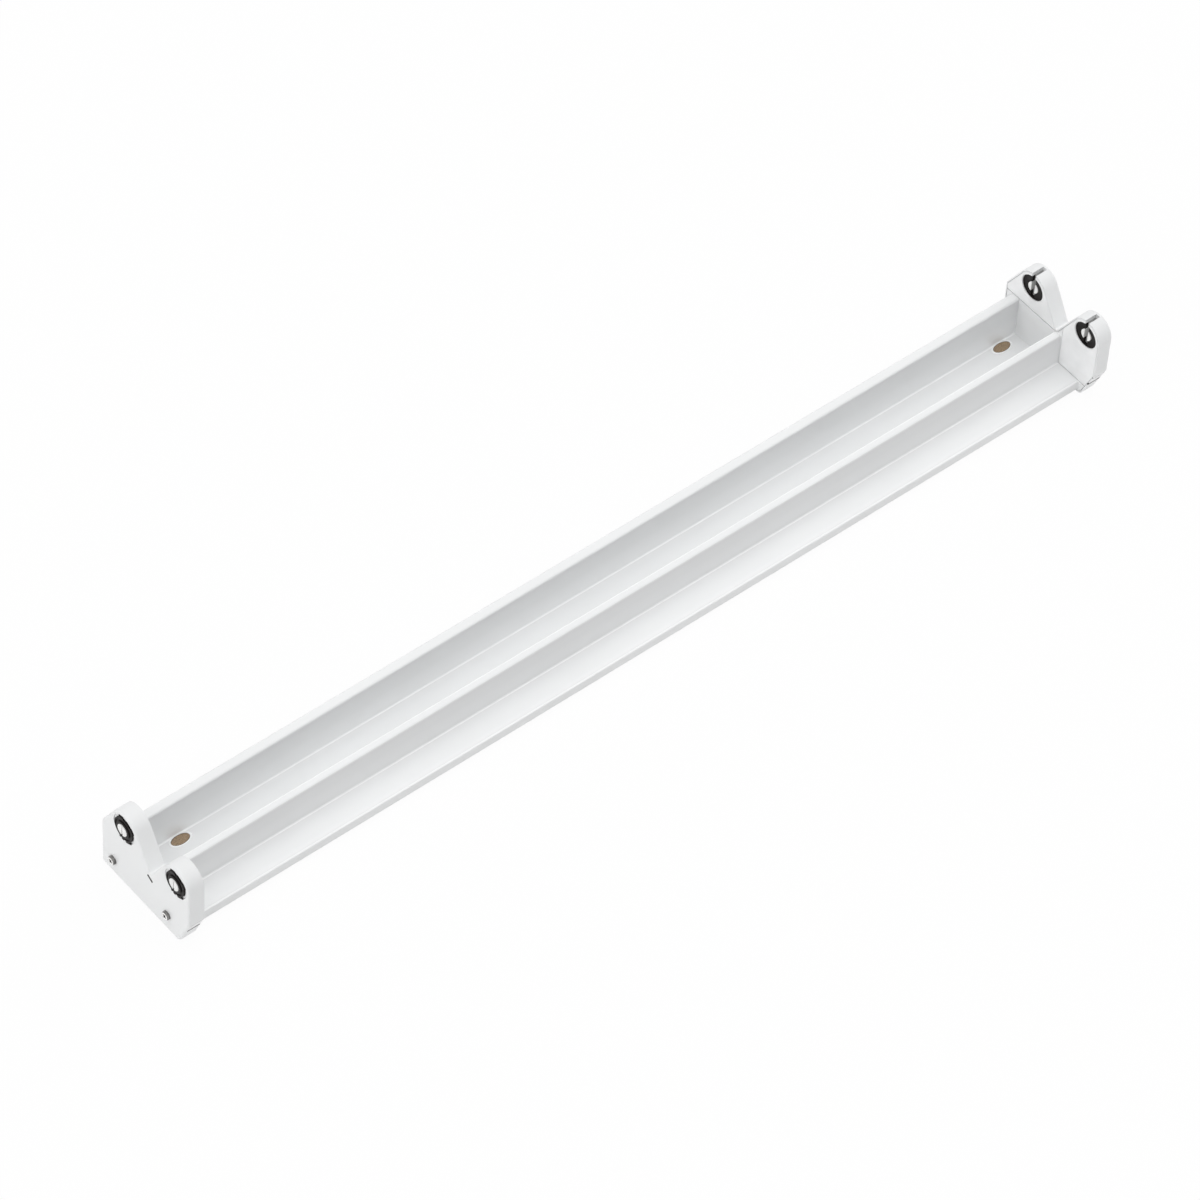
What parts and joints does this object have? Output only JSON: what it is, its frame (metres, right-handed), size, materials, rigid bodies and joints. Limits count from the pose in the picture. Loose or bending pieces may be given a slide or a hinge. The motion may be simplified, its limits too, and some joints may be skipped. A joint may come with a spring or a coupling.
{
  "type": "led tube light fixture",
  "caption": "Open white twin batten for tube lamps: folded tray, M-shaped end caps and lampholders whose slotted rotors turn to lock the lamp pins.",
  "frame": {"origin": "under the middle of the fixture, on the plane of its mounting face", "axes": "+X along the tubes from the near to the far end, +Y to the deep trough's side, +Z out of the lamp side"},
  "size_m": [0.6136, 0.0716, 0.055],
  "materials": {
    "painted_steel": "semi-gloss white powder coat",
    "screw_steel": "bright zinc plate",
    "plug_rubber": "matt tan rubber",
    "holder_plastic": "satin white moulding",
    "rotor_plastic": "satin black moulding",
    "core_plastic": "pale moulding",
    "contact_bronze": "bright strip",
    "live_insulation": "brown insulation",
    "neutral_insulation": "blue insulation",
    "earth_insulation": "green insulation",
    "block_plastic": "natural nylon"
  },
  "bodies": {
    "fixture": {"tray": "painted_steel", "near_end_cap": "painted_steel", "near_end_bracket": "painted_steel", "near_cap_screws": "screw_steel", "near_entry_plug": "plug_rubber", "near_left_holder": "holder_plastic", "near_left_back_cover": "holder_plastic", "near_left_back_ring": "rotor_plastic", "near_left_contact": "contact_bronze", "near_right_holder": "holder_plastic", "near_right_back_cover": "holder_plastic", "near_right_back_ring": "rotor_plastic", "near_right_contact": "contact_bronze", "far_end_cap": "painted_steel", "far_end_bracket": "painted_steel", "far_cap_screws": "screw_steel", "far_entry_plug": "plug_rubber", "far_left_holder": "holder_plastic", "far_left_back_cover": "holder_plastic", "far_left_back_ring": "rotor_plastic", "far_left_contact": "contact_bronze", "far_right_holder": "holder_plastic", "far_right_back_cover": "holder_plastic", "far_right_back_ring": "rotor_plastic", "far_right_contact": "contact_bronze", "live_wire_left": "live_insulation", "neutral_wire_left": "neutral_insulation", "live_wire_right": "live_insulation", "neutral_wire_right": "neutral_insulation", "earth_wire": "earth_insulation", "earth_lug": "contact_bronze", "earth_screw": "screw_steel", "terminal_block": "block_plastic", "terminal_screws": "screw_steel", "wire_clips": "block_plastic"},
    "near_left_rotor": {"near_left_rotor": "rotor_plastic", "near_left_rotor_core": "core_plastic"},
    "near_right_rotor": {"near_right_rotor": "rotor_plastic", "near_right_rotor_core": "core_plastic"},
    "far_left_rotor": {"far_left_rotor": "rotor_plastic", "far_left_rotor_core": "core_plastic"},
    "far_right_rotor": {"far_right_rotor": "rotor_plastic", "far_right_rotor_core": "core_plastic"}
  },
  "joints": [
    {"name": "near_left_rotor_turn", "type": "hinge", "parent": "fixture", "child": "near_left_rotor", "pos_m": [-0.2954, 0.01695, 0.0444], "axis": [1, 0, 0], "range_deg": [-90, 90]},
    {"name": "near_right_rotor_turn", "type": "hinge", "parent": "fixture", "child": "near_right_rotor", "pos_m": [-0.2954, -0.02525, 0.0444], "axis": [1, 0, 0], "range_deg": [-90, 90]},
    {"name": "far_left_rotor_turn", "type": "hinge", "parent": "fixture", "child": "far_left_rotor", "pos_m": [0.2954, 0.01695, 0.0444], "axis": [1, 0, 0], "range_deg": [-90, 90]},
    {"name": "far_right_rotor_turn", "type": "hinge", "parent": "fixture", "child": "far_right_rotor", "pos_m": [0.2954, -0.02525, 0.0444], "axis": [1, 0, 0], "range_deg": [-90, 90]}
  ]
}
